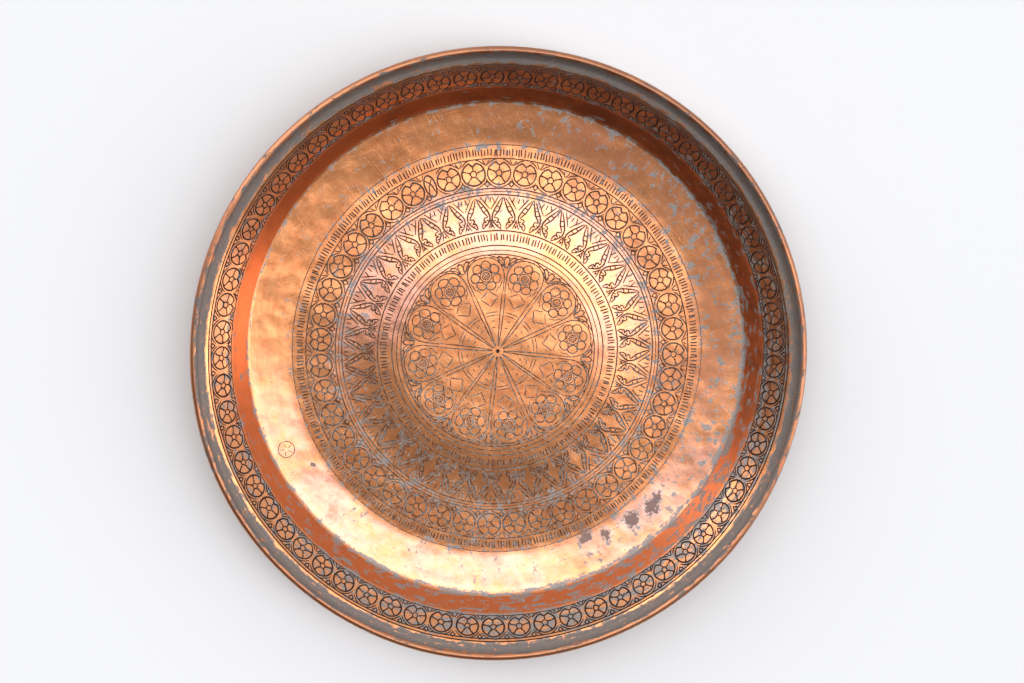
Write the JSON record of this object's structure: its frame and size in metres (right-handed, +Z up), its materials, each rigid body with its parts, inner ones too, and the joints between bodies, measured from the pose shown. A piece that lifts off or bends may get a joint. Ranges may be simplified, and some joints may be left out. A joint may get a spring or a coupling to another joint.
{
  "type": "tray",
  "caption": "Round hand-hammered copper tray with a flared wall, a wired rim and engraved ring borders on a slightly raised floor.",
  "frame": {"origin": "centre of the flat ring that the tray rests on, at the level of the table", "axes": "+Z up out of the open side along the tray's axis of symmetry; X and Y are alike, and the joint of the wire hoop is between -X and -Y"},
  "size_m": [0.46, 0.46, 0.042],
  "materials": {
    "copper": "hammered and engraved copper, worn bright on the high places, with dark patina in the cuts and grey remnants of tinning",
    "iron_wire": "black drawn iron wire, dull, closed inside the rolled edge"
  },
  "bodies": {
    "root": {"tray_body": "copper", "rim_wire": "iron_wire"}
  },
  "joints": []
}
